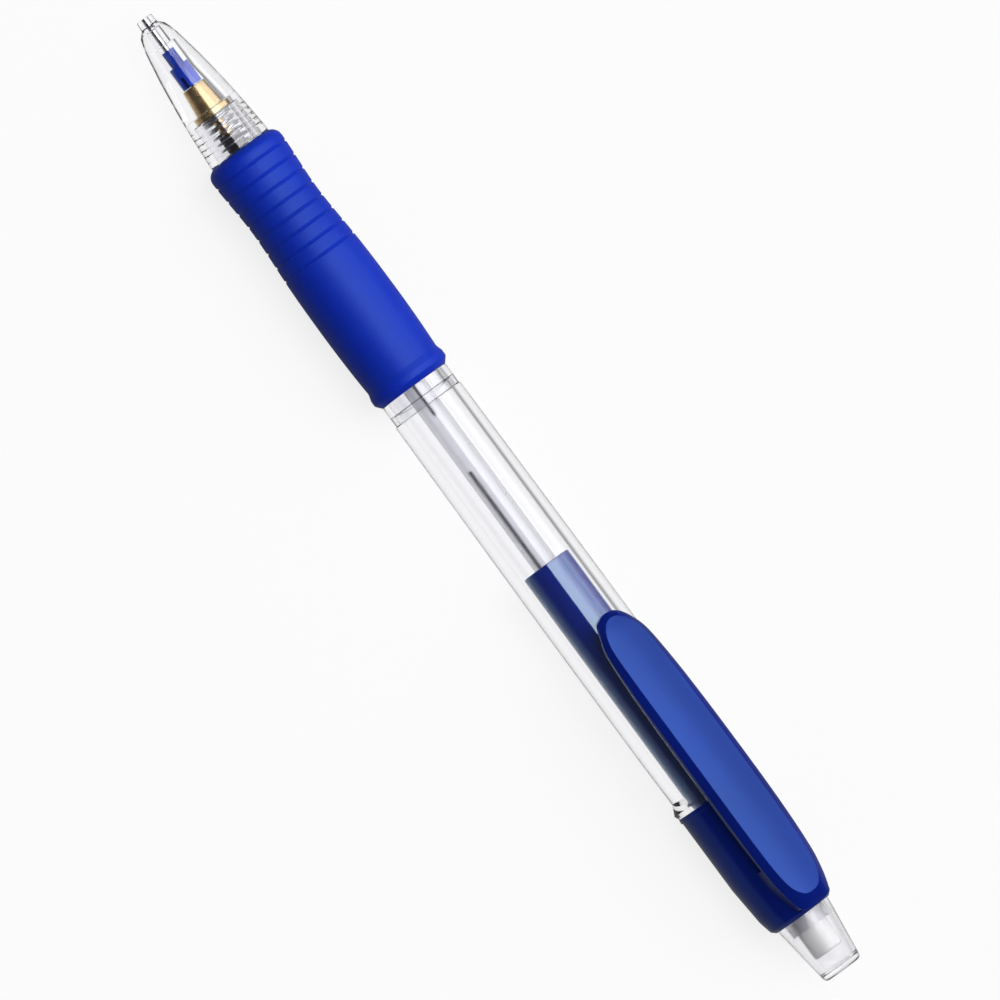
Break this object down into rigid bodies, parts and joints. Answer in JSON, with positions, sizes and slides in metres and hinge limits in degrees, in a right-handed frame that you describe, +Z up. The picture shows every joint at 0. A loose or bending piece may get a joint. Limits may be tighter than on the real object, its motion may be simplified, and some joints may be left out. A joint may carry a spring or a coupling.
{
  "type": "mechanical pencil",
  "caption": "Slim clear-barrelled clip pencil with a waisted rubber grip, a push button over an eraser and a guide pipe that draws into the nose.",
  "frame": {"origin": "centre of the pencil's bounding box on the surface that it lies on", "axes": "+X along the pencil from the nose tip to the eraser cap, +Z up through the clip, +Y across"},
  "size_m": [0.1442, 0.0112, 0.0135],
  "materials": {
    "clear_plastic": "clear glossy moulded polystyrene",
    "frosted_plastic": "milky translucent polypropylene",
    "blue_plastic": "glossy dark blue moulding",
    "rubber_blue": "matte blue rubber",
    "rubber_black": "matte",
    "eraser_white": "matte white vinyl",
    "brass": "turned brass",
    "steel": "drawn steel",
    "graphite": "graphite and polymer lead"
  },
  "bodies": {
    "barrel": {"front_barrel": "clear_plastic", "rubber_grip": "rubber_blue", "rear_barrel": "clear_plastic", "clip_cap": "blue_plastic", "clutch_sleeve": "brass", "chuck_spring": "steel"},
    "nose": {"nose_cone": "clear_plastic"},
    "slider": {"tip_slider": "blue_plastic", "guide_pipe": "steel", "lead_retainer": "rubber_black"},
    "push_rod": {"chuck": "brass", "chuck_holder": "frosted_plastic", "lead_tube": "frosted_plastic", "spare_lead": "graphite", "tail_tube": "blue_plastic", "eraser_holder": "frosted_plastic"},
    "lead": {"clutch_ring": "brass", "writing_lead": "graphite"},
    "eraser": {"eraser": "eraser_white"},
    "button": {"eraser_cap": "clear_plastic"}
  },
  "joints": [
    {"name": "nose_lift_off", "type": "slide", "parent": "barrel", "child": "nose", "axis": [-1, 0, 0], "range_m": [0, 0.022]},
    {"name": "pipe_slide", "type": "slide", "parent": "nose", "child": "slider", "axis": [-1, 0, 0], "range_m": [0, 0.003]},
    {"name": "button_press", "type": "slide", "parent": "barrel", "child": "push_rod", "axis": [-1, 0, 0], "range_m": [0, 0.0028], "stiffness_N_per_m": 700, "springref_m": -0.003, "deforming": ["chuck_spring"]},
    {"name": "lead_feed", "type": "slide", "parent": "barrel", "child": "lead", "axis": [-1, 0, 0], "range_m": [0, 0.0007]},
    {"name": "eraser_pull", "type": "slide", "parent": "push_rod", "child": "eraser", "axis": [1, 0, 0], "range_m": [0, 0.0065]},
    {"name": "cap_pull", "type": "slide", "parent": "eraser", "child": "button", "axis": [1, 0, 0], "range_m": [0, 0.01]}
  ],
  "couplings": [
    {"joint": "lead_feed", "follows": "button_press", "ratio": 0.25}
  ]
}
